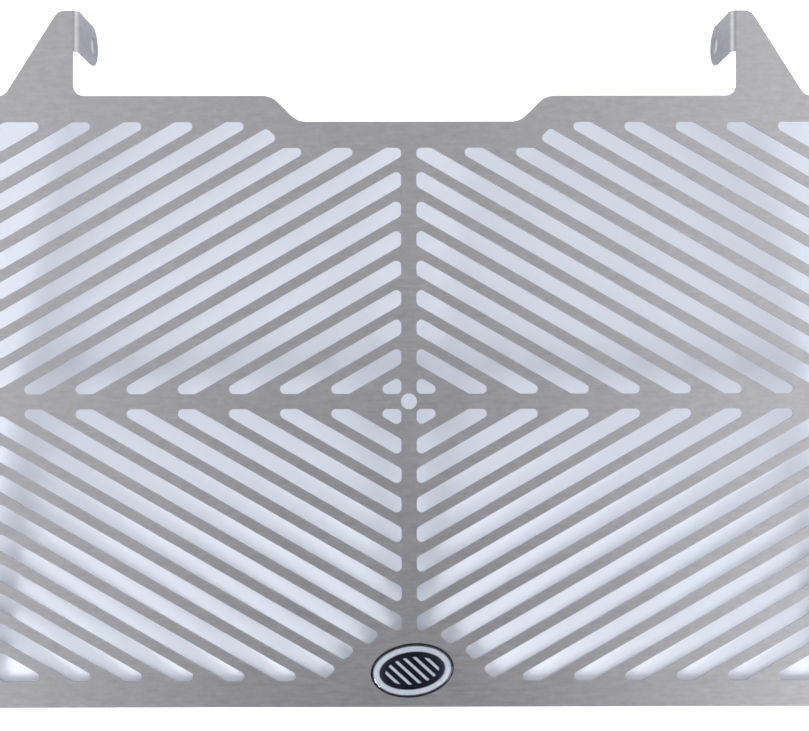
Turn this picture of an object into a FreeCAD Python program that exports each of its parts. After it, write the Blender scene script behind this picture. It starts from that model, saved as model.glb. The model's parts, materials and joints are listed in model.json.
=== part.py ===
import FreeCAD, Part
import math
import os
import Sketcher

# A guard that bolts in front of a motorcycle's radiator: one laser-cut, folded sheet with a domed badge.
# Millimetres. X is the width, +Y points back to the radiator and +Z is up.
# The origin is the middle of the centre hole, on the panel's front face.

doc = FreeCAD.newDocument("radiator_guard")

# Driving dimensions: the cell's alias, its value and what it is.
SIZES = [
    ("panel_width", 342.8, "width of the flat panel"),
    ("panel_height", 238.8, "height of the flat panel, without the ears"),
    ("sheet_thickness", 1.0, "thickness of the sheet"),
    ("panel_corner_radius", 8.0, "rounding of the panel's four outer corners"),
    ("border", 10.1, "plain border between the edge and the openings"),
    ("notch_depth", 10.1, "depth of the shallow notch in the top edge"),
    ("notch_floor", 87.0, "width of the notch's floor, between sharp corners"),
    ("notch_radius", 8.5, "rounding at both ends of the notch's 45 degree sides"),
    ("ear_height", 33.3, "height of the ears above the top edge"),
    ("ear_top_width", 5.6, "width of an ear at its top, between sharp corners"),
    ("ear_base_width", 26.7, "width of an ear at the top edge"),
    ("ear_radius", 4.5, "rounding of an ear's roots and of its outer corner"),
    ("left_fold", 40.2, "from the panel's left side to the left ear's fold"),
    ("right_fold", 43.1, "from the panel's right side to the right ear's fold"),
    ("bend_radius", 1.5, "inner radius of the folds"),
    ("tab_height", 15.7, "height of a folded tab"),
    ("tab_reach", 31.0, "distance of a tab's end behind the panel's front face"),
    ("tab_hole", 7.0, "diameter of a tab's bolt hole"),
    ("centre_hole", 6.2, "diameter of the hole in the middle of the panel"),
    ("spine_width", 6.0, "width of the upright rib in the middle"),
    ("crossbar_width", 5.9, "width of the level rib in the middle"),
    ("slot_angle", 30.0, "slope of the slots against level, in degrees"),
    ("slot_pitch", 10.0, "distance from slot to slot, square to the slots"),
    ("slot_width", 6.05, "width of a slot"),
    ("first_edge", 10.34, "distance from the middle to the far side of the innermost openings"),
    ("slot_radius", 1.9, "rounding of the openings' corners"),
    ("field_radius", 4.2, "rounding at the four outermost corners of the openings"),
    ("near_relief", 18.0, "from the badge's middle to the end of the first slot beside it"),
    ("far_relief", 20.6, "from the badge's middle to the ends of the next slots"),
    ("badge_length", 32.6, "length of the oval badge"),
    ("badge_width", 21.0, "width of the oval badge"),
    ("badge_across", 1.1, "the badge's middle, to the right of the panel's middle"),
    ("badge_drop", 14.3, "from the badge's middle down to the panel's bottom edge"),
    ("badge_tilt", 7.0, "turn of the badge, right side up, in degrees"),
    ("foil_thickness", 0.2, "thickness of the badge's printed foil"),
    ("dome_height", 1.5, "height of the clear dome over the foil"),
    ("dome_inset", 0.3, "from the foil's edge to the dome's edge"),
]

sheet = doc.addObject("Spreadsheet::Sheet", "Sizes")
for row, (alias, number, meaning) in enumerate(SIZES, start=1):
    sheet.set(f"A{row}", alias)
    sheet.set(f"B{row}", str(number))
    sheet.set(f"C{row}", meaning)
    sheet.setAlias(f"B{row}", alias)
doc.recompute()

# Formulas over the sheet's cells. Each is written once and used wherever that place is meant.
HALF_WIDTH = "(Sizes.panel_width / 2)"
HALF_HEIGHT = "(Sizes.panel_height / 2)"
EAR_TOP = f"({HALF_HEIGHT} + Sizes.ear_height)"
LEFT_FOLD = f"({HALF_WIDTH} - Sizes.left_fold)"
RIGHT_FOLD = f"({HALF_WIDTH} - Sizes.right_fold)"
NOTCH_HALF = "(Sizes.notch_floor / 2)"
BEND_OUTER = "(Sizes.bend_radius + Sizes.sheet_thickness)"
TAB_MIDDLE = f"({EAR_TOP} - Sizes.tab_height / 2)"
TAB_HOLE_BACK = "(Sizes.tab_reach - Sizes.tab_height / 2)"

FIELD_SIDE = f"({HALF_WIDTH} - Sizes.border)"
FIELD_END = f"({HALF_HEIGHT} - Sizes.border)"
NOTCH_END = f"({FIELD_END} - Sizes.notch_depth)"
SPINE_SIDE = "(Sizes.spine_width / 2)"
CROSSBAR_SIDE = "(Sizes.crossbar_width / 2)"
BADGE_DEPTH = f"({HALF_HEIGHT} - Sizes.badge_drop)"

# A slot's line is height + slope * across = level, so its level is its height at the panel's middle.
SLOPE = "tan(Sizes.slot_angle * 1 deg)"
LEAN = "cos(Sizes.slot_angle * 1 deg)"
LEVEL_STEP = f"(Sizes.slot_pitch / {LEAN})"
SLOT_LEVELS = f"(Sizes.slot_width / {LEAN})"
FIRST_BAR_NEAR = f"(Sizes.first_edge / {LEAN})"
FIRST_BAR_FAR = f"({FIRST_BAR_NEAR} + {LEVEL_STEP} - {SLOT_LEVELS})"
CORNER_LEVEL = f"({FIELD_END} + {SLOPE} * {FIELD_SIDE})"

# A diagonal line is height - across = rise. One runs a border inside the notch's side, two pass the badge.
NOTCH_RISE = f"({HALF_HEIGHT} - {NOTCH_HALF} - Sizes.notch_depth - Sizes.border * sqrt(2))"
NEAR_RISE = f"({BADGE_DEPTH} - Sizes.near_relief * sqrt(2))"
FAR_RISE = f"({BADGE_DEPTH} - Sizes.far_relief * sqrt(2))"

# Points closer together than this are the same corner.
SAME_PLACE = 1e-4
# A fillet takes at most this share of what a tight opening's sides leave room for.
ROOM_SHARE = 0.9


def measure(formula):
    """The number that a formula over the sheet's cells gives."""
    return float(sheet.evalExpression(formula))


def new_body(label):
    """A body with its own label."""
    body = doc.addObject("PartDesign::Body", label)
    body.Label = label
    body.Placement = FreeCAD.Placement()
    return body


def origin_plane(body, role):
    """One of the planes through the body's own origin."""
    return next(item for item in body.Origin.OriginFeatures if item.Role == role)


def new_sketch(body, name, role):
    """A sketch on one of the planes through the body's own origin."""
    sketch = body.newObject("Sketcher::SketchObject", name)
    sketch.AttachmentSupport = (origin_plane(body, role), [""])
    sketch.MapMode = "FlatFace"
    return sketch


def new_pad(body, name, sketch, length, backwards):
    """A pad whose length is a formula."""
    pad = body.newObject("PartDesign::Pad", name)
    pad.Profile = sketch
    pad.Reversed = backwards
    pad.setExpression("Length", length)
    sketch.Visibility = False
    return pad


def add_bound(sketch, kind, ends, formula):
    """A constraint whose value is a formula."""
    index = sketch.addConstraint(Sketcher.Constraint(kind, *ends, measure(formula)))
    sketch.setExpression(f"Constraints[{index}]", formula)


def pin(sketch, geometry, end, place):
    """Holds a point of a sketch at a place given by two formulas from the sketch's origin."""
    add_bound(sketch, "DistanceX", (-1, 1, geometry, end), place[0])
    add_bound(sketch, "DistanceY", (-1, 1, geometry, end), place[1])


def add_polygon(sketch, places):
    """A closed polygon with a corner pinned at each place."""
    corners = [FreeCAD.Vector(measure(across), measure(up), 0) for across, up in places]
    lines = []
    for start, stop in zip(corners, corners[1:] + corners[:1]):
        lines.append(sketch.addGeometry(Part.LineSegment(start, stop), False))
    for line, following, place in zip(lines, lines[1:] + lines[:1], places):
        sketch.addConstraint(Sketcher.Constraint("Coincident", line, 2, following, 1))
        pin(sketch, line, 1, place)


def add_circle(sketch, place, diameter):
    """A circle at a pinned place."""
    middle = FreeCAD.Vector(measure(place[0]), measure(place[1]), 0)
    circle = sketch.addGeometry(Part.Circle(middle, FreeCAD.Vector(0, 0, 1), measure(diameter) / 2), False)
    pin(sketch, circle, 3, place)
    add_bound(sketch, "Diameter", (circle,), diameter)


def edges_at(shape, corners):
    """The names of the straight edges that run through the sheet at the given corners, X and Z."""
    names = []
    for number, edge in enumerate(shape.Edges, start=1):
        if edge.Curve.TypeId != "Part::GeomLine":
            continue
        start, stop = (vertex.Point for vertex in edge.Vertexes)
        across = math.dist((start.x, start.z), (stop.x, stop.z)) < SAME_PLACE
        if across and any(math.dist((start.x, start.z), corner) < SAME_PLACE for corner in corners):
            names.append(f"Edge{number}")
    return names


def round_corners(body, name, corners, radius):
    """Rounds a plate's corners, given as X and Z. The radius is a formula or a number."""
    base = body.Tip
    fillet = body.newObject("PartDesign::Fillet", name)
    fillet.Base = (base, edges_at(base.Shape, corners))
    if isinstance(radius, str):
        fillet.setExpression("Radius", radius)
    else:
        fillet.Radius = radius
    doc.recompute()


def measured(places):
    """The X and Z of places that are given by formulas."""
    return [(measure(across), measure(up)) for across, up in places]


def ear_corners(fold, sign):
    """An ear's corners on the outline: outer root, outer top corner, fold's top and inner root."""
    return [
        (f"{sign}({fold} + Sizes.ear_base_width)", HALF_HEIGHT),
        (f"{sign}({fold} + Sizes.ear_top_width)", EAR_TOP),
        (f"{sign}{fold}", EAR_TOP),
        (f"{sign}{fold}", HALF_HEIGHT),
    ]


def notch_corners(sign):
    """The outer and the inner corner of one side of the notch."""
    return [
        (f"{sign}({NOTCH_HALF} + Sizes.notch_depth)", HALF_HEIGHT),
        (f"{sign}{NOTCH_HALF}", f"({HALF_HEIGHT} - Sizes.notch_depth)"),
    ]


def make_plate(body):
    """The flat blank: a rectangle with two ears and a shallow notch on its top edge."""
    right_ear = ear_corners(RIGHT_FOLD, "")
    left_ear = ear_corners(LEFT_FOLD, "-")
    right_notch = notch_corners("")
    left_notch = notch_corners("-")
    panel_corners = [
        (f"-{HALF_WIDTH}", HALF_HEIGHT),
        (f"-{HALF_WIDTH}", f"-{HALF_HEIGHT}"),
        (HALF_WIDTH, f"-{HALF_HEIGHT}"),
        (HALF_WIDTH, HALF_HEIGHT),
    ]
    outline = new_sketch(body, "outline", "XZ_Plane")
    add_polygon(outline, panel_corners + right_ear + right_notch + left_notch[::-1] + left_ear[::-1])
    new_pad(body, "plate", outline, "Sizes.sheet_thickness", True)
    doc.recompute()
    round_corners(body, "panel_corners", measured(panel_corners), "Sizes.panel_corner_radius")
    round_corners(body, "notch_corners", measured(right_notch + left_notch), "Sizes.notch_radius")
    rounded_ears = [ear[place] for ear in (left_ear, right_ear) for place in (0, 1, 3)]
    round_corners(body, "ear_corners", measured(rounded_ears), "Sizes.ear_radius")


def make_tab(body, side, fold, sign):
    """A tab folded back at an ear's inner edge: a quarter bend, then a flat with a round end and a hole."""
    bend_section = new_sketch(body, f"{side}_bend_section", "YZ_Plane")
    bend_section.setExpression("AttachmentOffset.Base.x", BEND_OUTER)
    bend_section.setExpression("AttachmentOffset.Base.z", f"{sign}{fold}")
    add_polygon(bend_section, [
        (f"-{BEND_OUTER}", f"({EAR_TOP} - Sizes.tab_height)"),
        ("-Sizes.bend_radius", f"({EAR_TOP} - Sizes.tab_height)"),
        ("-Sizes.bend_radius", EAR_TOP),
        (f"-{BEND_OUTER}", EAR_TOP),
    ])
    bend = body.newObject("PartDesign::Revolution", f"{side}_bend")
    bend.Profile = bend_section
    bend.ReferenceAxis = (bend_section, ["V_Axis"])
    bend.Angle = 90
    bend.Reversed = sign == ""
    bend_section.Visibility = False

    flat_section = new_sketch(body, f"{side}_tab_outline", "YZ_Plane")
    flat_section.setExpression("AttachmentOffset.Base.z", f"{sign}({fold} - {BEND_OUTER})")
    add_tab_outline(flat_section)
    new_pad(body, f"{side}_tab", flat_section, "Sizes.sheet_thickness", sign == "-")


def add_tab_outline(sketch):
    """A tab's flat: straight from the bend, ending in a half circle round its hole."""
    bottom = f"({EAR_TOP} - Sizes.tab_height)"
    start_low = FreeCAD.Vector(measure(BEND_OUTER), measure(bottom), 0)
    start_high = FreeCAD.Vector(measure(BEND_OUTER), measure(EAR_TOP), 0)
    end_low = FreeCAD.Vector(measure(TAB_HOLE_BACK), measure(bottom), 0)
    end_high = FreeCAD.Vector(measure(TAB_HOLE_BACK), measure(EAR_TOP), 0)
    tip = FreeCAD.Vector(measure("Sizes.tab_reach"), measure(TAB_MIDDLE), 0)
    low = sketch.addGeometry(Part.LineSegment(start_low, end_low), False)
    tip_arc = sketch.addGeometry(Part.Arc(end_low, tip, end_high), False)
    high = sketch.addGeometry(Part.LineSegment(end_high, start_high), False)
    closing = sketch.addGeometry(Part.LineSegment(start_high, start_low), False)
    for first, following in ((high, closing), (closing, low)):
        sketch.addConstraint(Sketcher.Constraint("Coincident", first, 2, following, 1))
    sketch.addConstraint(Sketcher.Constraint("Tangent", low, 2, tip_arc, 1))
    sketch.addConstraint(Sketcher.Constraint("Tangent", tip_arc, 2, high, 1))
    sketch.addConstraint(Sketcher.Constraint("Horizontal", high))
    sketch.addConstraint(Sketcher.Constraint("Vertical", closing))
    pin(sketch, low, 1, (BEND_OUTER, bottom))
    pin(sketch, tip_arc, 3, (TAB_HOLE_BACK, TAB_MIDDLE))
    add_circle(sketch, (TAB_HOLE_BACK, TAB_MIDDLE), "Sizes.tab_hole")


def make_centre_hole(body):
    """The small round hole where the two ribs cross."""
    outline = new_sketch(body, "centre_hole_outline", "XZ_Plane")
    add_circle(outline, ("0", "0"), "Sizes.centre_hole")
    hole = body.newObject("PartDesign::Pocket", "centre_hole")
    hole.Profile = outline
    hole.Type = "ThroughAll"
    hole.Midplane = True
    outline.Visibility = False


def bar_middle(level):
    """The level of the middle of the bar that lies nearest to a level."""
    first = f"({FIRST_BAR_NEAR} + ({LEVEL_STEP} - {SLOT_LEVELS}) / 2)"
    return f"({first} + {LEVEL_STEP} * round(({level} - {first}) / {LEVEL_STEP}))"


def on_height(level, height):
    """Where a slot's line of some level has some height."""
    return (f"(({level} - {height}) / {SLOPE})", height)


def on_across(level, across):
    """Where a slot's line of some level has some distance across."""
    return (across, f"({level} - {SLOPE} * {across})")


def on_diagonal(level, rise):
    """Where a slot's line of some level meets a diagonal."""
    across = f"(({level} - {rise}) / (1 + {SLOPE}))"
    return (across, f"({rise} + {across})")


def upper_window():
    """The space for the openings of an upper quadrant: a border inside the panel's edge and its notch."""
    notch_level = f"({NOTCH_END} + {SLOPE} * ({NOTCH_END} - {NOTCH_RISE}))"
    last_under_notch = bar_middle(notch_level)
    return [
        (SPINE_SIDE, CROSSBAR_SIDE),
        (FIELD_SIDE, CROSSBAR_SIDE),
        (FIELD_SIDE, FIELD_END),
        (f"({FIELD_END} - {NOTCH_RISE})", FIELD_END),
        on_diagonal(last_under_notch, NOTCH_RISE),
        on_height(last_under_notch, NOTCH_END),
        (SPINE_SIDE, NOTCH_END),
    ]


def lower_window():
    """The space for the openings of a lower quadrant, which leaves the badge's seat free; height is depth."""
    above_badge = bar_middle(f"({BADGE_DEPTH} - Sizes.badge_width / 2)")
    beside_badge = bar_middle(BADGE_DEPTH)
    return [
        (SPINE_SIDE, CROSSBAR_SIDE),
        (FIELD_SIDE, CROSSBAR_SIDE),
        (FIELD_SIDE, FIELD_END),
        (f"({FIELD_END} - {FAR_RISE})", FIELD_END),
        on_diagonal(beside_badge, FAR_RISE),
        on_diagonal(beside_badge, NEAR_RISE),
        on_diagonal(above_badge, NEAR_RISE),
        on_across(above_badge, SPINE_SIDE),
    ]


def upright(places, sign):
    """The same places above the middle, or as far below it."""
    return [(across, f"{sign}{height}") for across, height in places]


def add_bar(body, sign):
    """Leaves the first slanted bar standing between two openings, then the others at the slots' pitch."""
    outline = new_sketch(body, "bar_outline", "XZ_Plane")
    add_polygon(outline, upright([
        on_across(FIRST_BAR_NEAR, "0"),
        on_across(FIRST_BAR_NEAR, HALF_WIDTH),
        on_across(FIRST_BAR_FAR, HALF_WIDTH),
        on_across(FIRST_BAR_FAR, "0"),
    ], sign))
    bar = body.newObject("PartDesign::Pocket", "bar")
    bar.Profile = outline
    bar.Type = "ThroughAll"
    bar.Midplane = True
    outline.Visibility = False
    doc.recompute()
    bars = body.newObject("PartDesign::LinearPattern", "bars")
    bars.Originals = [bar]
    bars.Direction = (outline, ["V_Axis"])
    bars.Reversed = sign == "-"
    bars.Mode = "Spacing"
    bars.setExpression("Offset", LEVEL_STEP)
    # The outermost bar is left out where the corner behind it would be narrower than a slot.
    last_bar = f"({CORNER_LEVEL} - {SLOT_LEVELS} - {FIRST_BAR_FAR})"
    bars.setExpression("Occurrences", f"1 + floor({last_bar} / {LEVEL_STEP})")
    body.Tip = bars
    doc.recompute()


def sharp_corners(opening):
    """An opening's sharp corners, and the largest radius that its sides leave room for."""
    wire = max(opening.Faces, key=lambda face: face.Area).OuterWire
    points = [vertex.Point for vertex in wire.OrderedVertexes]
    ways = [stop - start for start, stop in zip(points, points[1:] + points[:1])]
    straight = [edge.Curve.TypeId == "Part::GeomLine" for edge in wire.OrderedEdges]
    corners = []
    shares = []
    for place, point in enumerate(points):
        sharp = straight[place] and straight[place - 1]
        # a fillet takes its radius times this share from each of the two sides
        shares.append(math.tan(ways[place].getAngle(ways[place - 1]) / 2) if sharp else 0.0)
        if sharp:
            corners.append((point.x, point.z))
    room = math.inf
    for way, share, following in zip(ways, shares, shares[1:] + shares[:1]):
        if share + following > 0:
            room = min(room, way.Length / (share + following))
    return corners, room


def round_openings(body):
    """Rounds the openings' corners. One that is too tight takes the rounding that its sides leave room for."""
    radius = measure("Sizes.slot_radius")
    roomy = []
    tight = []
    for opening in body.Tip.Shape.Solids:
        corners, room = sharp_corners(opening)
        if room * ROOM_SHARE > radius:
            roomy += corners
        else:
            tight.append((corners, room * ROOM_SHARE))
    round_corners(body, "slot_corners", roomy, "Sizes.slot_radius")
    for number, (corners, limit) in enumerate(tight, start=1):
        round_corners(body, f"tight_corners_{number}", corners, limit)


def make_openings(label, window, sign):
    """The openings of the two upper or the two lower quadrants, as solids to cut from the plate."""
    body = new_body(label)
    outline = new_sketch(body, "window_outline", "XZ_Plane")
    add_polygon(outline, upright(window, sign))
    new_pad(body, "window", outline, "Sizes.sheet_thickness", True)
    doc.recompute()
    outer = upright([(FIELD_SIDE, FIELD_END)], sign)
    round_corners(body, "outer_corner", measured(outer), "Sizes.field_radius")
    add_bar(body, sign)
    round_openings(body)
    left = body.newObject("PartDesign::Mirrored", "left_half")
    left.TransformMode = "Whole shape"
    left.MirrorPlane = (origin_plane(body, "YZ_Plane"), [""])
    body.Tip = left
    doc.recompute()
    return body


def make_panel():
    """The cut and folded sheet."""
    body = new_body("guard_panel")
    make_plate(body)
    make_tab(body, "right", RIGHT_FOLD, "")
    make_tab(body, "left", LEFT_FOLD, "-")
    make_centre_hole(body)
    openings = [make_openings("upper_openings", upper_window(), ""),
                make_openings("lower_openings", lower_window(), "-")]
    cut = body.newObject("PartDesign::Boolean", "openings")
    cut.Type = "Cut"
    cut.setObjects(openings)
    doc.recompute()
    return body


def make_foil():
    """The badge's printed foil: a thin oval, stuck on the panel's front with its right side up."""
    body = new_body("badge_foil")
    outline = new_sketch(body, "oval", "XZ_Plane")
    outline.setExpression("AttachmentOffset.Base.x", "Sizes.badge_across")
    outline.setExpression("AttachmentOffset.Base.y", f"-{BADGE_DEPTH}")
    outline.setExpression("AttachmentOffset.Rotation.Angle", "Sizes.badge_tilt")
    long_half = measure("Sizes.badge_length / 2")
    short_half = measure("Sizes.badge_width / 2")
    oval = outline.addGeometry(Part.Ellipse(FreeCAD.Vector(0, 0, 0), long_half, short_half), False)
    outline.exposeInternalGeometry(oval)
    long_axis = oval + 1
    short_axis = oval + 2
    outline.addConstraint(Sketcher.Constraint("Coincident", oval, 3, -1, 1))
    outline.addConstraint(Sketcher.Constraint("Horizontal", long_axis))
    add_bound(outline, "Distance", (long_axis,), "Sizes.badge_length")
    add_bound(outline, "Distance", (short_axis,), "Sizes.badge_width")
    new_pad(body, "foil", outline, "Sizes.foil_thickness", False)
    return body


def make_dome():
    """The clear dome: half an ellipsoid that stands on the foil, a little inside its edge."""
    dome = doc.addObject("Part::Ellipsoid", "badge_dome")
    dome.Label = "badge_dome"
    dome.Angle1 = 0
    dome.setExpression("Radius1", "Sizes.dome_height")
    dome.setExpression("Radius2", "Sizes.badge_length / 2 - Sizes.dome_inset")
    dome.setExpression("Radius3", "Sizes.badge_width / 2 - Sizes.dome_inset")
    seat = f"vector(Sizes.badge_across; -Sizes.foil_thickness; -{BADGE_DEPTH})"
    turn = "rotation(vector(0; -1; 0); Sizes.badge_tilt) * rotation(vector(1; 0; 0); 90)"
    dome.setExpression("Placement", f"placement({seat}; {turn})")
    return dome


def check(pieces):
    """Stops where an object has failed or a piece is no valid solid."""
    for item in doc.Objects:
        if "Invalid" in item.State or "Error" in item.State:
            raise RuntimeError(f"{item.Name} has failed: {item.State}")
    for piece in pieces:
        if piece.Shape.isNull() or not piece.Shape.isValid() or len(piece.Shape.Solids) != 1:
            raise RuntimeError(f"{piece.Label} is no valid single solid")


PIECES = [make_panel(), make_foil(), make_dome()]
doc.recompute()
check(PIECES)
os.makedirs("parts", exist_ok=True)
for piece in PIECES:
    piece.Shape.exportStep(f"parts/{piece.Label}.step")
    print(piece.Label, round(piece.Shape.Volume, 2), "cubic millimetres")
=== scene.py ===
import json
import math

import bpy
import numpy as np
from mathutils import Matrix, Vector


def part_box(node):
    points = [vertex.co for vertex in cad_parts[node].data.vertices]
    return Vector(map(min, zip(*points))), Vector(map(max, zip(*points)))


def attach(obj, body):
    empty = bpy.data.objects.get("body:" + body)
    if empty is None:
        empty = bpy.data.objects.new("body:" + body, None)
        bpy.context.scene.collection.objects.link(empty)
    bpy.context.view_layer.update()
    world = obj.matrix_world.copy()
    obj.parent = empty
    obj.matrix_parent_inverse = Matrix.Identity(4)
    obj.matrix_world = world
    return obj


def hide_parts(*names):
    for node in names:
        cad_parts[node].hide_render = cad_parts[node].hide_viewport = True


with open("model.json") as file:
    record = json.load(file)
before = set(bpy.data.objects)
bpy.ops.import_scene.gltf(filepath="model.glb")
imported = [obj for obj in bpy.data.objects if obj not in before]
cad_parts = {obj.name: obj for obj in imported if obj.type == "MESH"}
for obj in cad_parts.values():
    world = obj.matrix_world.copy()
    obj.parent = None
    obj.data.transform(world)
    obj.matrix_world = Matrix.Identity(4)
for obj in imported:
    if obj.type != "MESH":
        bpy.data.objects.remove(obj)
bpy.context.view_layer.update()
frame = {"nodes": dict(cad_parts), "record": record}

# The guard lies on a white table for its picture: on its bottom edge and on the ends of its two tabs.
# Metres. X is the width, +Y points back to the table and +Z is up, to the ears.

MM = 0.001

# What the frame gives: the sheet's thickness, as the length of a hole through it, the middles of the tabs'
# holes, the panel's bottom edge, the foil's thickness and the dome's height over the foil.
MOUNTS = {mount["name"]: mount for mount in frame["record"]["mounts"]}
SHEET = MOUNTS["centre_hole"]["dims"]["length_mm"] * MM
TAB_HOLES = {side: MOUNTS[f"{side}_tab_hole"]["pos_m"] for side in ("left", "right")}
PANEL_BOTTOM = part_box("guard_panel")[0].z
FOIL = -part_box("badge_foil")[0].y
DOME_HEIGHT = -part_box("badge_dome")[0].y - FOIL

# The tabs' round ends, and the badge: its middle across and up, its half length and half width, and its turn.
TAB_END_RADIUS = 7.85 * MM
BADGE_MIDDLE = (1.1 * MM, -105.1 * MM)
BADGE_HALF = (16.3 * MM, 10.5 * MM)
BADGE_TILT = math.radians(7.0)

# The dome starts inside the foil's edge. Its gentle crown is a share of its height, and its round shoulder a
# share of its radius. The slant says how steeply the shoulder meets the foil, where 1 is upright.
DOME_INSET = 0.3 * MM
DOME_CROWN = 0.15
DOME_SHOULDER = 0.3
DOME_SLANT = 0.75

# The steel's own colours, on its brushed faces and on its cut walls.
STEEL_DARK = (0.505, 0.495, 0.51, 1.0)
STEEL_PALE = (0.67, 0.655, 0.675, 1.0)
CUT_DARK = (0.52, 0.52, 0.54, 1.0)
CUT_PALE = (0.72, 0.72, 0.74, 1.0)

# The steel's grain, in features per metre along X, Y and Z: hairlines, strokes, mottling and clouds on its
# brushed faces, and ridges across its cut walls. Two shares say how much of the relief is hairlines and how
# much of the colour is mottling, and the rest of each is strokes. Most of a noise lies within its range.
HAIRLINES = (60.0, 60.0, 6000.0)
STROKES = (90.0, 90.0, 900.0)
MOTTLING = (220.0, 220.0, 440.0)
CLOUDS = (22.0, 22.0, 34.0)
RIDGES = (3500.0, 120.0, 3500.0)
HAIRLINE_SHARE = 0.4
MOTTLING_SHARE = 0.6
NOISE_RANGE = (0.3, 0.7)
GRAIN_DEPTH = 0.02 * MM
EDGE_ROUNDING = 0.12 * MM

# The steel's roughness: from stroke to stroke, what the clouds add to it, and on its cut walls. Over a range
# of their own the clouds also blend in up to a share of the dark colour.
STROKE_ROUGHNESS = (0.33, 0.41)
CLOUD_ROUGHNESS = (-0.02, 0.03)
CUT_ROUGHNESS = 0.5
CLOUD_RANGE = (0.35, 0.7)
CLOUD_SHADE = 0.16

# How a cut wall is told from a face: the most of its normal that may point as the face does, the least of it
# that points up or down, the sheet's thickness with some slack, and the depth where the fold has ended.
FACE_SHARE = 0.3
LEVEL_SHARE = 0.5
SHEET_DEPTH = 1.02 * SHEET
FOLD_DEPTH = 5 * SHEET

# The badge's silver and black inks: their colours and roughness, how metallic the silver is, and the specks.
SILVER_DARK = (0.305, 0.33, 0.38, 1.0)
SILVER_PALE = (0.37, 0.40, 0.455, 1.0)
INK_DARK = (0.005, 0.006, 0.011, 1.0)
INK_PALE = (0.008, 0.009, 0.016, 1.0)
INK_ROUGHNESS = 0.35
SILVER_ROUGHNESS = 0.3
SILVER_METAL = 0.15
SPECKLES = (2500.0, 2500.0, 2500.0)
SPECKLE_RANGE = (0.35, 0.65)
SPECKLE_DEPTH = 0.01 * MM

# The badge's print, in shares of its half length and half width: the silver oval inside the black rim, the
# black oval inside that, and the oval that the silver bars fill. A bar starts a share of the pitch from the
# middle of the gap beside it. The edges of ovals and bars are soft by a little.
SILVER_OVAL = (0.925, 0.885)
BLACK_OVAL = (0.79, 0.70)
BARS_OVAL = (0.64, 0.50)
BAR_SLANT = 0.55
BAR_PITCH = 0.24
BAR_START = 0.33
OVAL_SOFTNESS = 0.02
BAR_SOFTNESS = 0.01

# The dome's resin: its tint, what it lets through to the print, and its swells.
RESIN = (0.97, 0.98, 0.99, 1.0)
RESIN_SHADOW = (0.94, 0.95, 0.96, 1.0)
SWELLS = (160.0, 160.0, 160.0)
SWELL_DEPTH = 0.05 * MM

# The stage: the table's half size and its gap behind the bottom edge, and the pale card on it that shows
# through the openings. The card is painted shade: a sheet put only under the guard, in the tone of the table
# where the guard shades it. The card's edges are its half width, bottom and top. Its notch, under the guard's
# own, is given by its floor's height, and its half width there and at the top. A small card of the same
# painted shade lies behind each tab's hole.
TABLE_HALF = 1600 * MM
TABLE_GAP = 0.2 * MM
CARD_LIFT = 0.1 * MM
CARD_EDGES = (176 * MM, -114.4 * MM, 120 * MM)
CARD_NOTCH = (109.3 * MM, 48.6 * MM, 59.2 * MM)
HOLE_CARD_HALF = (1.1 * MM, 4.4 * MM)

# The two papers' own colours, and their faint clouds in features per metre.
WHITE_DARK = (0.70, 0.725, 0.79, 1.0)
WHITE_PALE = (0.735, 0.76, 0.825, 1.0)
BLUE_DARK = (0.72, 0.745, 0.825, 1.0)
BLUE_PALE = (0.73, 0.785, 0.86, 1.0)
PAPER_CLOUDS = (30.0, 30.0, 30.0)

# Painted shade on a paper's glow: where the glow starts and stops fading, from the middle to the sides, the
# heights between which that fade comes in, and a level band of painted shade: its height and how far from
# it the shade is full and gone.
PAINTED_SIDE_SHADE = (110 * MM, 172 * MM)
UNFADED_BELOW = (-55 * MM, -25 * MM)
PAINTED_SHADE_HEIGHT = -74 * MM
PAINTED_SHADE_REACH = (10 * MM, 24 * MM)

# The room's light by the way one looks. Each row is a range of one part of that way, and the light at the
# range's two ends: from side to side, up to the ceiling in two rises, and down at the ground.
SIDE_LIGHT = (-0.6, 0.6, 0.68, 0.92)
CEILING_RISES = ((0.1, 0.3, 0.0, 0.09), (0.45, 0.8, 0.0, 0.2))
GROUND_LIGHT = (-0.3, -0.2, 0.04, 0.0)

# The dark valley up the room's middle: where its middle is, its steep and its gentle slope to the sides, how
# deep it is from low to high, and up to where it has the low tint.
VALLEY_MIDDLE = 0.01
VALLEY_STEEP = (0.0, 0.1, 0.6, 0.0)
VALLEY_GENTLE = (0.12, 0.42, 0.67, 0.0)
VALLEY_DEPTH = (-0.35, 0.35, 0.74, 0.28)
VALLEY_LOW = (-0.27, -0.12, 1.0, 0.0)

# Where the room turns white behind the guard, the share of its light on what is matt, and its tints.
BEHIND_GUARD = (0.0, 0.25)
MATT_SHARE = 0.7
ROOM_TINT = (0.984, 0.992, 1.011, 1.0)
LOW_TINT = (0.90, 0.96, 1.07, 1.0)
WHITE = (1.0, 1.0, 1.0, 1.0)

# The lamps: the way to each from the middle of the guard, its distance, width and height in metres, and its
# power in watts. The softboxes light what is matt, and the gleams are seen in gloss alone.
SOFTBOXES = {
    "left softbox": ((-1.5, -1.0, -1.12), 1.5, 0.58, 0.58, 20.0),
    "right softbox": ((1.33, -1.0, -1.12), 1.5, 0.62, 0.62, 11.5),
}
GLEAMS = {
    "left gleam": ((-1.5, -0.7, 0.4), 1.7, 1.3, 1.3, 3.0),
    "right gleam": ((1.2, -0.8, -1.0), 1.75, 1.3, 1.3, 12.0),
    "low gleam": ((-1.5, -1.0, -1.6), 2.4, 0.42, 1.05, 20.0),
}

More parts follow.
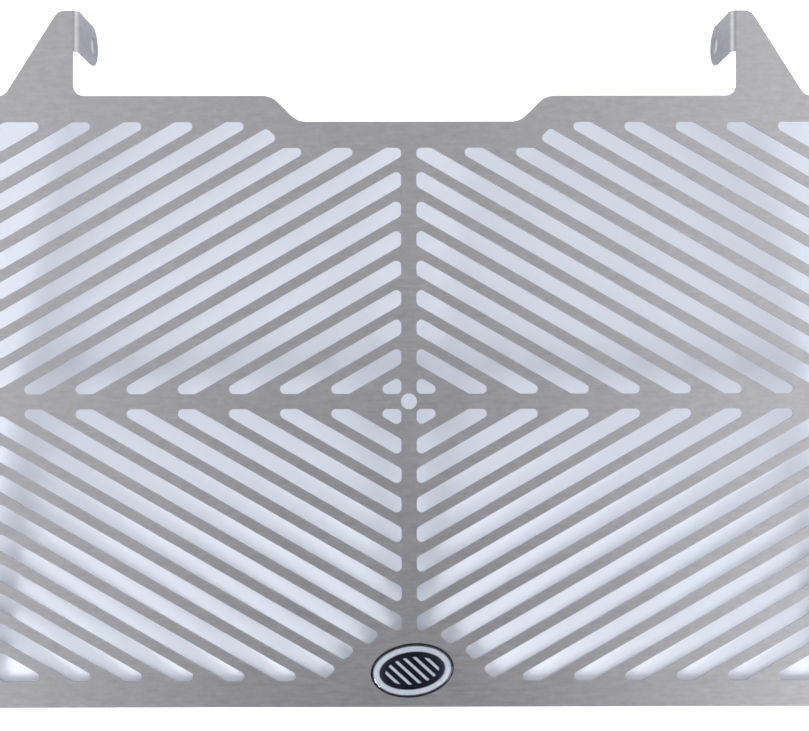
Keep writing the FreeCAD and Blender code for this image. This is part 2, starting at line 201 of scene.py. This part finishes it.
# The camera: a picture 809 wide with a focal length of 1245 of its own units, the sensor's width in
# millimetres, what is too near to be seen, and the camera's place and turns in radians.
PICTURE_WIDTH = 809
FOCAL = 1245
SENSOR_WIDTH = 36.0
NEAREST_SEEN = 10 * MM
CAMERA_PLACE = (-3.44 * MM, -486.4 * MM, 13.87 * MM)
CAMERA_YAW = -0.00349
CAMERA_PITCH = -0.00029
CAMERA_ROLL = 0.00154


class Tree:
    """A node tree built from plain calls: a node's settings by name, its inputs by name or number."""

    def __init__(self, owner):
        owner.use_nodes = True
        self.tree = owner.node_tree
        self.tree.nodes.clear()

    def node(self, kind, inputs=None, **settings):
        """One node, with each input set to a value or linked to another node's output."""
        made = self.tree.nodes.new(kind)
        for name, value in settings.items():
            setattr(made, name, value)
        for name, value in (inputs or {}).items():
            if isinstance(value, bpy.types.NodeSocket):
                self.tree.links.new(value, made.inputs[name])
            else:
                made.inputs[name].default_value = value
        return made

    def math(self, operation, *values, clamp=False):
        """One number worked out from others."""
        inputs = dict(enumerate(values))
        return self.node("ShaderNodeMath", inputs, operation=operation, use_clamp=clamp).outputs[0]

    def mix(self, share, first, second):
        """A number between two, by a share."""
        return self.node("ShaderNodeMix", {0: share, 2: first, 3: second}).outputs[0]

    def blend(self, share, first, second):
        """A colour between two, by a share."""
        inputs = {0: share, 6: first, 7: second}
        return self.node("ShaderNodeMix", inputs, data_type="RGBA").outputs[2]

    def span(self, value, low, high, to_low=0.0, to_high=1.0, smooth=False):
        """A value brought from one range into another, and kept inside it."""
        inputs = {0: value, 1: low, 2: high, 3: to_low, 4: to_high}
        kind = "SMOOTHSTEP" if smooth else "LINEAR"
        return self.node("ShaderNodeMapRange", inputs, interpolation_type=kind).outputs[0]

    def noise(self, place, scales, detail=2.0, roughness=0.5, shift=(0.0, 0.0, 0.0)):
        """Noise stretched by three scales, in features per metre."""
        placed = self.node("ShaderNodeMapping", {"Vector": place, "Location": shift, "Scale": scales})
        inputs = {"Vector": placed.outputs[0], "Scale": 1.0, "Detail": detail, "Roughness": roughness}
        return self.node("ShaderNodeTexNoise", inputs).outputs["Fac"]

    def bump(self, height, strength, depth, **inputs):
        """A normal tilted by the slopes of a height."""
        inputs.update({"Height": height, "Strength": strength, "Distance": depth})
        return self.node("ShaderNodeBump", inputs).outputs[0]

    def finish(self, kind, shader):
        """The shader, sent to the tree's output."""
        self.node(kind, {"Surface": shader})


def object_place(tree):
    """The place on the object, that place split in three, and the three parts of its normal without sign."""
    source = tree.node("ShaderNodeTexCoord")
    place = source.outputs["Object"]
    normal = source.outputs["Normal"]
    place_parts = tree.node("ShaderNodeSeparateXYZ", {0: place}).outputs
    normal_parts = tree.node("ShaderNodeSeparateXYZ", {0: normal}).outputs
    return place, place_parts, [tree.math("ABSOLUTE", part) for part in normal_parts]


def cut_edge_mask(tree, place_parts, normal_parts):
    """1 on the walls that the laser cut through the sheet, 0 on its rolled and brushed faces."""
    in_sheet = tree.math("LESS_THAN", place_parts[1], SHEET_DEPTH)
    side = tree.math("LESS_THAN", normal_parts[1], FACE_SHARE)
    level = tree.math("GREATER_THAN", normal_parts[2], LEVEL_SHARE)
    on_tab = tree.math("GREATER_THAN", place_parts[1], FOLD_DEPTH)
    tab_end = tree.math("LESS_THAN", normal_parts[0], FACE_SHARE)
    wall = tree.math("MULTIPLY", in_sheet, side)
    rim = tree.math("MULTIPLY", on_tab, tab_end)
    return tree.math("MAXIMUM", tree.math("MAXIMUM", wall, level), rim)


def brushed_stainless():
    """Stainless sheet, brushed along its width, with laser-cut edges."""
    material = bpy.data.materials.new("brushed stainless")
    tree = Tree(material)
    place, place_parts, normal_parts = object_place(tree)
    cut = cut_edge_mask(tree, place_parts, normal_parts)

    hairlines = tree.noise(place, HAIRLINES, detail=3.0, roughness=0.6)
    strokes = tree.noise(place, STROKES, detail=3.0, roughness=0.7, shift=(3.0, 0.0, 7.0))
    mottling = tree.noise(place, MOTTLING, detail=4.0, roughness=0.75, shift=(1.0, 5.0, 2.0))
    clouds = tree.noise(place, CLOUDS, detail=3.0, shift=(9.0, 2.0, 4.0))
    ridges = tree.noise(place, RIDGES)

    shade = tree.mix(MOTTLING_SHARE, strokes, mottling)
    face_color = tree.blend(tree.span(shade, *NOISE_RANGE), STEEL_DARK, STEEL_PALE)
    clouded = tree.blend(tree.span(clouds, *CLOUD_RANGE, 0.0, CLOUD_SHADE), face_color, STEEL_DARK)
    wall_color = tree.blend(tree.span(ridges, *NOISE_RANGE), CUT_DARK, CUT_PALE)

    stroke_rough = tree.span(strokes, *NOISE_RANGE, *STROKE_ROUGHNESS)
    face_rough = tree.math("ADD", stroke_rough, tree.span(clouds, *NOISE_RANGE, *CLOUD_ROUGHNESS))
    relief = tree.mix(cut, tree.mix(HAIRLINE_SHARE, strokes, hairlines), ridges)
    rounded = tree.node("ShaderNodeBevel", {"Radius": EDGE_ROUNDING}, samples=4).outputs[0]
    across_grain = tree.node("ShaderNodeCombineXYZ", {"X": 0.02, "Y": 0.02, "Z": 1.0}).outputs[0]
    shader = tree.node("ShaderNodeBsdfPrincipled", {
        "Base Color": tree.blend(cut, clouded, wall_color),
        "Metallic": 1.0,
        "Roughness": tree.mix(cut, face_rough, CUT_ROUGHNESS),
        "Anisotropic": 0.6,
        "Tangent": across_grain,
        "Normal": tree.bump(relief, 0.22, GRAIN_DEPTH, Normal=rounded),
    })
    tree.finish("ShaderNodeOutputMaterial", shader.outputs[0])
    return material


def badge_place(tree, place_parts):
    """Distances along and across the badge from its middle, in half-lengths and half-widths."""
    from_x = tree.math("SUBTRACT", place_parts[0], BADGE_MIDDLE[0])
    from_z = tree.math("SUBTRACT", place_parts[2], BADGE_MIDDLE[1])
    cosine = math.cos(BADGE_TILT)
    sine = math.sin(BADGE_TILT)
    along = tree.math("ADD", tree.math("MULTIPLY", from_x, cosine), tree.math("MULTIPLY", from_z, sine))
    across = tree.math("SUBTRACT", tree.math("MULTIPLY", from_z, cosine), tree.math("MULTIPLY", from_x, sine))
    return tree.math("DIVIDE", along, BADGE_HALF[0]), tree.math("DIVIDE", across, BADGE_HALF[1])


def inside_oval(tree, along, across, oval):
    """1 inside an oval round the badge's middle, 0 outside, with a soft edge."""
    wide = tree.math("POWER", tree.math("ABSOLUTE", tree.math("DIVIDE", along, oval[0])), 2.0)
    tall = tree.math("POWER", tree.math("ABSOLUTE", tree.math("DIVIDE", across, oval[1])), 2.0)
    reach = tree.math("SQRT", tree.math("ADD", wide, tall))
    return tree.span(reach, 1.0 - OVAL_SOFTNESS, 1.0 + OVAL_SOFTNESS, 1.0, 0.0)


def silver_bars(tree, along, across):
    """1 on slanted bars inside their oval, 0 between them and outside it."""
    slant = tree.math("ADD", along, tree.math("MULTIPLY", across, BAR_SLANT))
    from_gap = tree.math("PINGPONG", slant, BAR_PITCH / 2)
    start = BAR_START * BAR_PITCH
    bars = tree.span(from_gap, start - BAR_SOFTNESS, start + BAR_SOFTNESS)
    return tree.math("MULTIPLY", bars, inside_oval(tree, along, across, BARS_OVAL))


def printed_foil():
    """Silver foil printed black: a black rim, and a black oval with a grille of slanted silver bars."""
    material = bpy.data.materials.new("printed foil")
    tree = Tree(material)
    place, place_parts, _ = object_place(tree)
    along, across = badge_place(tree, place_parts)
    silver_oval = inside_oval(tree, along, across, SILVER_OVAL)
    black_oval = inside_oval(tree, along, across, BLACK_OVAL)
    black_left = tree.math("SUBTRACT", black_oval, silver_bars(tree, along, across), clamp=True)
    silver = tree.math("SUBTRACT", silver_oval, black_left, clamp=True)

    speckles = tree.noise(place, SPECKLES)
    speckled = tree.span(speckles, *SPECKLE_RANGE)
    silver_color = tree.blend(speckled, SILVER_DARK, SILVER_PALE)
    ink_color = tree.blend(speckled, INK_DARK, INK_PALE)
    shader = tree.node("ShaderNodeBsdfPrincipled", {
        "Base Color": tree.blend(silver, ink_color, silver_color),
        "Metallic": tree.math("MULTIPLY", silver, SILVER_METAL),
        "Roughness": tree.mix(silver, INK_ROUGHNESS, SILVER_ROUGHNESS),
        "Specular IOR Level": 0.0,
        "Normal": tree.bump(speckles, 0.15, SPECKLE_DEPTH),
    })
    tree.finish("ShaderNodeOutputMaterial", shader.outputs[0])
    return material


def clear_resin():
    """Clear cast resin: glossy and refracting, and it lets the lamps' light through to the print."""
    material = bpy.data.materials.new("clear resin")
    tree = Tree(material)
    place, _, _ = object_place(tree)
    swells = tree.noise(place, SWELLS, detail=1.0)
    resin = tree.node("ShaderNodeBsdfPrincipled", {
        "Base Color": RESIN,
        "Roughness": 0.02,
        "IOR": 1.45,
        "Transmission Weight": 1.0,
        "Normal": tree.bump(swells, 0.2, SWELL_DEPTH),
    })
    clear = tree.node("ShaderNodeBsdfTransparent", {"Color": RESIN_SHADOW})
    shadow = tree.node("ShaderNodeLightPath").outputs["Is Shadow Ray"]
    shader = tree.node("ShaderNodeMixShader", {0: shadow, 1: resin.outputs[0], 2: clear.outputs[0]})
    tree.finish("ShaderNodeOutputMaterial", shader.outputs[0])
    return material


def mesh_object(name, vertices, faces, material):
    """A smooth object from arrays of vertices and faces."""
    mesh = bpy.data.meshes.new(name)
    mesh.from_pydata(vertices.tolist(), [], faces.tolist())
    mesh.polygons.foreach_set("use_smooth", np.ones(len(mesh.polygons), dtype=bool))
    mesh.materials.append(material)
    mesh.update()
    made = bpy.data.objects.new(name, mesh)
    bpy.context.scene.collection.objects.link(made)
    return made


def dome_surface(rings=48, turns=160):
    """Vertices and faces of the badge's dome.

    Ring r, from 0 at the crown to 1 at the edge, is an oval of r times the dome's half sizes. Its height over
    the foil is a share of (1 - r squared), the gentle crown, and the rest of a quarter circle's height in the
    outer part of the oval, the round shoulder, which meets the foil at a slant. A flat floor closes it, sunk
    into the foil.
    """
    spread = np.sin(np.linspace(0.0, math.pi / 2, rings + 1)[1:])
    turn = np.linspace(0.0, 2 * math.pi, turns, endpoint=False)
    radius, angle = (grid.ravel() for grid in np.meshgrid(spread, turn, indexing="ij"))
    past_shoulder = np.clip((radius - 1 + DOME_SHOULDER) / DOME_SHOULDER, 0.0, 1.0)
    arc = np.sqrt(1 - (past_shoulder * DOME_SLANT) ** 2)
    foot_height = math.sqrt(1 - DOME_SLANT ** 2)
    shoulder = (arc - foot_height) / (1 - foot_height)
    height = DOME_HEIGHT * (DOME_CROWN * (1 - radius ** 2) + (1 - DOME_CROWN) * shoulder)
    along = radius * (BADGE_HALF[0] - DOME_INSET) * np.cos(angle)
    across = radius * (BADGE_HALF[1] - DOME_INSET) * np.sin(angle)
    sunk = FOIL / 4
    shell = np.column_stack([along, across, height])
    crown = [[0.0, 0.0, DOME_HEIGHT]]
    foot = shell[-turns:] + [0.0, 0.0, -sunk]
    floor_middle = [[0.0, 0.0, -sunk]]
    local = np.vstack([crown, shell, foot, floor_middle])
    cosine = math.cos(BADGE_TILT)
    sine = math.sin(BADGE_TILT)
    x = BADGE_MIDDLE[0] + local[:, 0] * cosine - local[:, 1] * sine
    z = BADGE_MIDDLE[1] + local[:, 0] * sine + local[:, 1] * cosine
    vertices = np.column_stack([x, -FOIL - local[:, 2], z])

    step = np.arange(turns)
    following = (step + 1) % turns
    cap = np.column_stack([np.zeros(turns, int), 1 + step, 1 + following])
    walls = []
    for ring in range(rings):
        inner = 1 + ring * turns
        outer = inner + turns
        walls.append(np.column_stack([inner + step, outer + step, outer + following]))
        walls.append(np.column_stack([inner + step, outer + following, inner + following]))
    last = 1 + rings * turns
    base = np.column_stack([np.full(turns, last + turns), last + following, last + step])
    return vertices, np.vstack([cap] + walls + [base])


def dress_panel():
    """The brushed sheet."""
    panel = frame["nodes"]["guard_panel"]
    panel.data.materials.clear()
    panel.data.materials.append(brushed_stainless())


def dress_badge():
    """The printed foil, and the dome over it."""
    foil = frame["nodes"]["badge_foil"]
    foil.data.materials.clear()
    foil.data.materials.append(printed_foil())
    vertices, faces = dome_surface()
    dome = mesh_object("clear_dome", vertices, faces, clear_resin())
    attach(dome, "root")
    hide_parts("badge_dome")


def table_slope():
    """The table's slope against the panel, from its back bottom edge to where the tabs' ends touch it."""
    _, hole_depth, hole_height = TAB_HOLES["left"]
    back = hole_depth - SHEET
    up = hole_height - PANEL_BOTTOM
    return math.atan2(back, up) + math.asin(TAB_END_RADIUS / math.hypot(back, up))


def own_glow(tree, seen, mirrored):
    """How much a paper glows to the camera and through resin, and in metal; nothing else is lit by it."""
    light_path = tree.node("ShaderNodeLightPath").outputs
    direct = tree.math("MAXIMUM", light_path["Is Camera Ray"], light_path["Is Transmission Ray"])
    in_metal = tree.math("MULTIPLY", light_path["Is Glossy Ray"], mirrored)
    return tree.math("MAXIMUM", tree.math("MULTIPLY", direct, seen), in_metal)


def glow_with_painted_shade(tree, place_parts, seen, at_left, at_right, painted_shade):
    """A paper's glow to the camera, with painted shade: it fades to both sides except low down, less a band.
    """
    start, end = PAINTED_SIDE_SHADE
    left_share = tree.span(place_parts[0], -end, -start, at_left, 1.0)
    right_share = tree.span(place_parts[0], start, end, 1.0, at_right)
    kept_low = tree.span(place_parts[2], *UNFADED_BELOW, 1.0, 0.0)
    share = tree.math("MAXIMUM", tree.math("MULTIPLY", left_share, right_share), kept_low)
    from_band = tree.math("ABSOLUTE", tree.math("SUBTRACT", place_parts[2], PAINTED_SHADE_HEIGHT))
    shade = tree.span(from_band, *PAINTED_SHADE_REACH, painted_shade, 0.0)
    return tree.math("SUBTRACT", tree.math("MULTIPLY", share, seen), shade)


def paper(name, dark, pale, seen, mirrored, at_left=1.0, at_right=1.0, painted_shade=0.0):
    """Matt paper with faint clouds and a glow that may carry painted shade; a camera behind it looks through
    it.
    """
    material = bpy.data.materials.new(name)
    tree = Tree(material)
    place, place_parts, _ = object_place(tree)
    clouds = tree.noise(place, PAPER_CLOUDS, detail=4.0)
    color = tree.blend(tree.span(clouds, *NOISE_RANGE), dark, pale)
    seen_here = glow_with_painted_shade(tree, place_parts, seen, at_left, at_right, painted_shade)
    glow = own_glow(tree, seen_here, mirrored)
    matt = tree.node("ShaderNodeBsdfDiffuse", {"Color": color})
    light = tree.node("ShaderNodeEmission", {"Color": color, "Strength": glow})
    lit = tree.node("ShaderNodeAddShader", {0: matt.outputs[0], 1: light.outputs[0]})
    backfacing = tree.node("ShaderNodeNewGeometry").outputs["Backfacing"]
    camera = tree.node("ShaderNodeLightPath").outputs["Is Camera Ray"]
    from_behind = tree.math("MULTIPLY", backfacing, camera)
    clear = tree.node("ShaderNodeBsdfTransparent")
    shader = tree.node("ShaderNodeMixShader", {0: from_behind, 1: lit.outputs[0], 2: clear.outputs[0]})
    tree.finish("ShaderNodeOutputMaterial", shader.outputs[0])
    return material


def flat_card(name, corners, lift, material):
    """One flat face from corners across and up, laid on the table's slope and lifted towards the guard."""
    slope = math.tan(table_slope())
    start = SHEET + TABLE_GAP - lift
    vertices = np.array([[across, start + (up - PANEL_BOTTOM) * slope, up] for across, up in corners])
    return mesh_object(name, vertices, np.array([range(len(corners))]), material)


def notched_corners():
    """Corners, across and up, of the painted-shade card under the guard's openings."""
    half, low, high = CARD_EDGES
    notch_low, notch_half, notch_wide = CARD_NOTCH
    return [(-half, low), (half, low), (half, high), (notch_wide, high), (notch_half, notch_low),
            (-notch_half, notch_low), (-notch_wide, high), (-half, high)]


def corners_behind(hole):
    """Corners, across and up, of a small painted-shade card that fills the camera's view through a tab's
    hole.

    The way from the camera through the hole's middle meets the table's slope at the card's middle.
    """
    slope = math.tan(table_slope())
    camera = Vector(CAMERA_PLACE)
    way = Vector(hole) - camera
    under_camera = SHEET + TABLE_GAP + (camera.z - PANEL_BOTTOM) * slope
    middle = camera + way * (under_camera - camera.y) / (way.y - way.z * slope)
    half_across, half_up = HOLE_CARD_HALF
    low, high = middle.z - half_up, middle.z + half_up
    near, far = middle.x - half_across, middle.x + half_across
    return [(near, low), (far, low), (far, high), (near, high)]


def add_table():
    """The white table, and on it pale blue cards of painted shade that only show through the guard's
    openings.
    """
    white = paper("white paper", WHITE_DARK, WHITE_PALE, seen=1.0, mirrored=0.15)
    # The card's glow is painted light and shade: weaker than the table's, faded to the sides and dipped in a
    # low band.
    blue = paper("pale blue card", BLUE_DARK, BLUE_PALE, seen=0.21, mirrored=0.1,
                 at_left=0.5, at_right=0.9, painted_shade=0.05)
    half = TABLE_HALF
    square = [(-half, -half), (half, -half), (half, half), (-half, half)]
    table = flat_card("table", square, 0.0, white)
    cards = [flat_card("card", notched_corners(), CARD_LIFT, blue)]
    for side, hole in TAB_HOLES.items():
        cards.append(flat_card(f"{side}_hole_card", corners_behind(hole), CARD_LIFT, blue))


def room_light(tree, parts, near_middle):
    """The room's light: pale walls with a dark valley up the middle, and white behind the guard."""
    low_rise, high_rise = (tree.span(parts[2], *rise) for rise in CEILING_RISES)
    ceiling = tree.math("ADD", low_rise, high_rise)
    ground = tree.span(parts[2], *GROUND_LIGHT)
    walls = tree.math("ADD", tree.span(parts[0], *SIDE_LIGHT), tree.math("ADD", ceiling, ground))
    valley = tree.math("MULTIPLY", tree.span(parts[2], *VALLEY_DEPTH), near_middle)
    front = tree.math("SUBTRACT", walls, valley)
    return tree.mix(tree.span(parts[1], *BEHIND_GUARD, smooth=True), front, 1.0)


def studio_light():
    """White to the camera, and else a soft room, dimmer on what is matt."""
    world = bpy.data.worlds.new("studio")
    bpy.context.scene.world = world
    tree = Tree(world)
    way = tree.node("ShaderNodeTexCoord").outputs["Generated"]
    parts = tree.node("ShaderNodeSeparateXYZ", {0: way}).outputs
    off_middle = tree.math("ABSOLUTE", tree.math("SUBTRACT", parts[0], VALLEY_MIDDLE))
    steep = tree.span(off_middle, *VALLEY_STEEP)
    gentle = tree.span(off_middle, *VALLEY_GENTLE)
    near_middle = tree.math("ADD", steep, gentle)
    room = room_light(tree, parts, near_middle)

    light_path = tree.node("ShaderNodeLightPath").outputs
    seen = light_path["Is Camera Ray"]
    share = tree.span(light_path["Is Diffuse Ray"], 0.0, 1.0, 1.0, MATT_SHARE)
    strength = tree.mix(seen, tree.math("MULTIPLY", room, share), 1.0)
    low_middle = tree.math("MULTIPLY", near_middle, tree.span(parts[2], *VALLEY_LOW))
    color = tree.blend(seen, tree.blend(low_middle, ROOM_TINT, LOW_TINT), WHITE)
    light = tree.node("ShaderNodeBackground", {"Color": color, "Strength": strength})
    tree.finish("ShaderNodeOutputWorld", light.outputs[0])


def flat_lamp(name, way, distance, width, height, power, in_gloss):
    """A large flat lamp that looks at the middle of the guard, and shows in gloss or lights what is matt."""
    lamp = bpy.data.lights.new(name, "AREA")
    lamp.shape = "RECTANGLE"
    lamp.size = width
    lamp.size_y = height
    lamp.energy = power
    made = bpy.data.objects.new(name, lamp)
    bpy.context.scene.collection.objects.link(made)
    made.visible_glossy = in_gloss
    made.visible_diffuse = not in_gloss
    made.location = Vector(way).normalized() * distance
    made.rotation_euler = (-Vector(way)).to_track_quat("-Z", "Y").to_euler()


def add_lamps():
    """The softboxes and the gleams."""
    for name, sizes in SOFTBOXES.items():
        flat_lamp(name, *sizes, in_gloss=False)
    for name, sizes in GLEAMS.items():
        flat_lamp(name, *sizes, in_gloss=True)


def add_camera():
    """The camera, square on to the panel and slightly turned, as in the picture."""
    lens = bpy.data.cameras.new("camera")
    lens.sensor_fit = "HORIZONTAL"
    lens.sensor_width = SENSOR_WIDTH
    lens.lens = SENSOR_WIDTH * FOCAL / PICTURE_WIDTH
    lens.clip_start = NEAREST_SEEN
    camera = bpy.data.objects.new("camera", lens)
    bpy.context.scene.collection.objects.link(camera)
    right = Vector((math.cos(CAMERA_YAW), math.sin(CAMERA_YAW), 0.0))
    ahead = Vector((-math.sin(CAMERA_YAW), math.cos(CAMERA_YAW), 0.0))
    up = Vector((0.0, 0.0, math.cos(CAMERA_PITCH))) + ahead * math.sin(CAMERA_PITCH)
    ahead = ahead * math.cos(CAMERA_PITCH) - Vector((0.0, 0.0, math.sin(CAMERA_PITCH)))
    rolled_right = right * math.cos(CAMERA_ROLL) - up * math.sin(CAMERA_ROLL)
    rolled_up = right * math.sin(CAMERA_ROLL) + up * math.cos(CAMERA_ROLL)
    turn = Matrix((rolled_right, rolled_up, -ahead)).transposed()
    camera.matrix_world = Matrix.Translation(CAMERA_PLACE) @ turn.to_4x4()
    bpy.context.scene.camera = camera


dress_panel()
dress_badge()
add_table()
studio_light()
add_lamps()
add_camera()
bpy.context.scene.view_settings.view_transform = "Standard"
